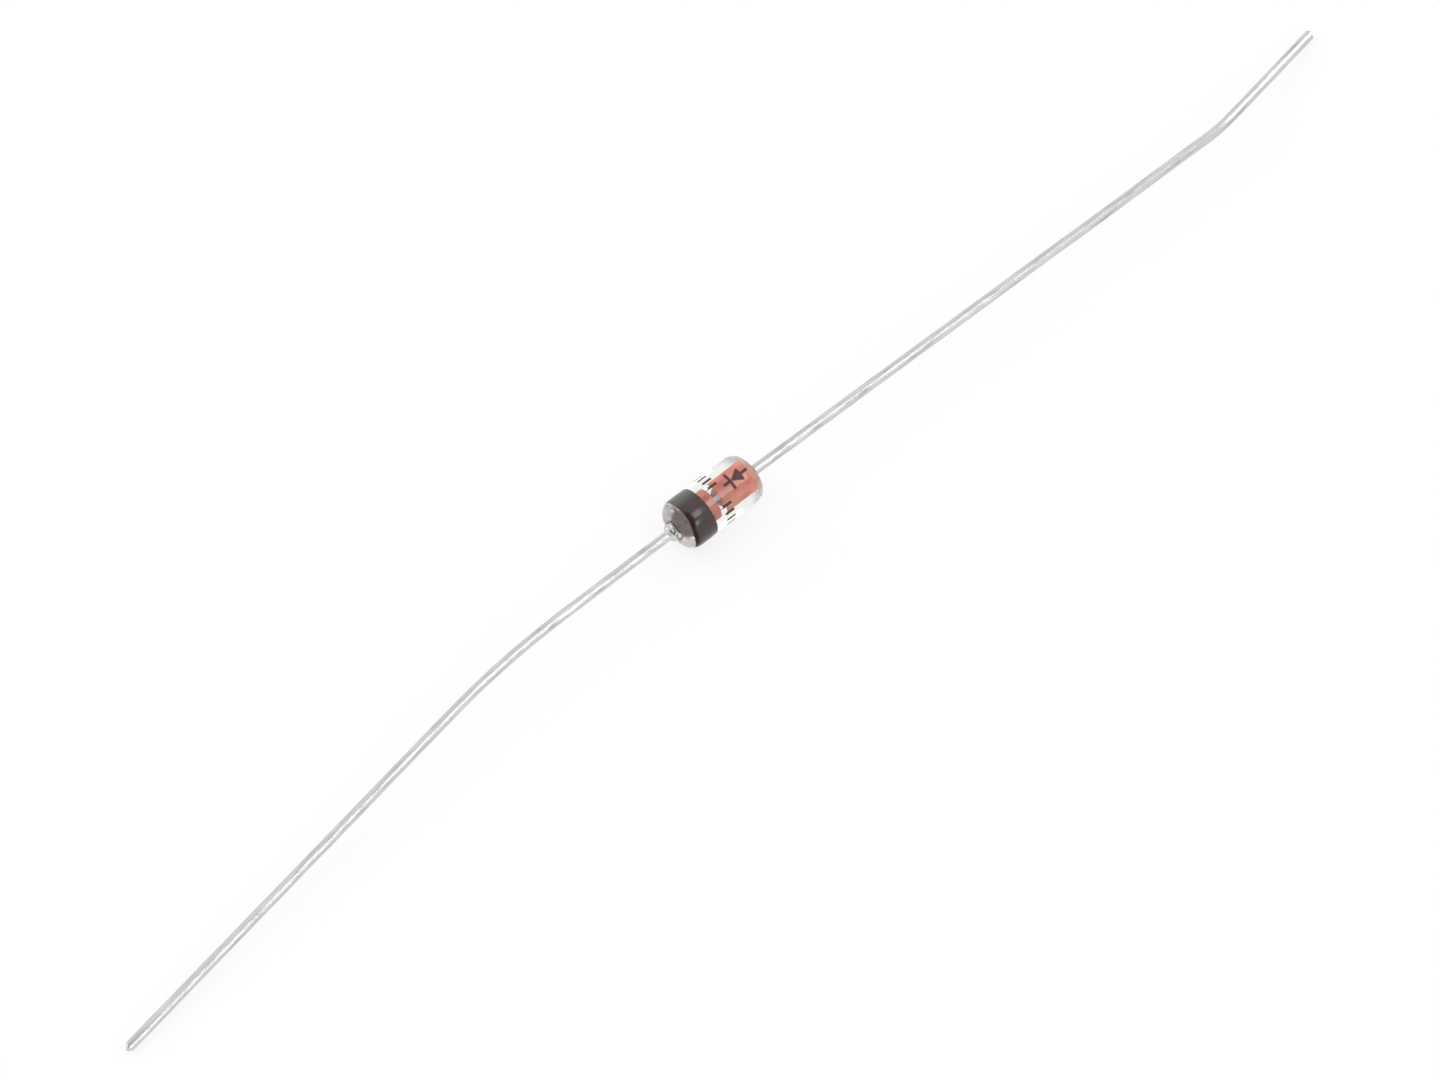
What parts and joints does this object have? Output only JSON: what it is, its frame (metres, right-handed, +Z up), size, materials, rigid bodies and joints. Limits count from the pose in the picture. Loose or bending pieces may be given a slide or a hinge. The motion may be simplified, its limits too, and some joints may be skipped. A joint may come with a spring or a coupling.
{
  "type": "small signal diode",
  "caption": "Axial diode in a clear glass sleeve, with a dark cathode band, copper-clad plugs that hold the chip, and bent tinned wire leads.",
  "frame": {"origin": "the point of the surface that the diode lies on, under the middle of the glass", "axes": "+X along the glass from the cathode to the anode, +Z up from the surface"},
  "size_m": [0.06, 0.0039, 0.002],
  "materials": {
    "glass": "gloss",
    "band_ink": "satin",
    "plug_copper": "satin",
    "lead_tin": "satin",
    "silicon": "polished",
    "bump_silver": "satin"
  },
  "bodies": {
    "root": {"glass_envelope": "glass", "cathode_band": "band_ink", "cathode_slug": "plug_copper", "anode_slug": "plug_copper", "silicon_die": "silicon", "contact_bump": "bump_silver", "cathode_lead": "lead_tin", "anode_lead": "lead_tin"}
  },
  "joints": []
}
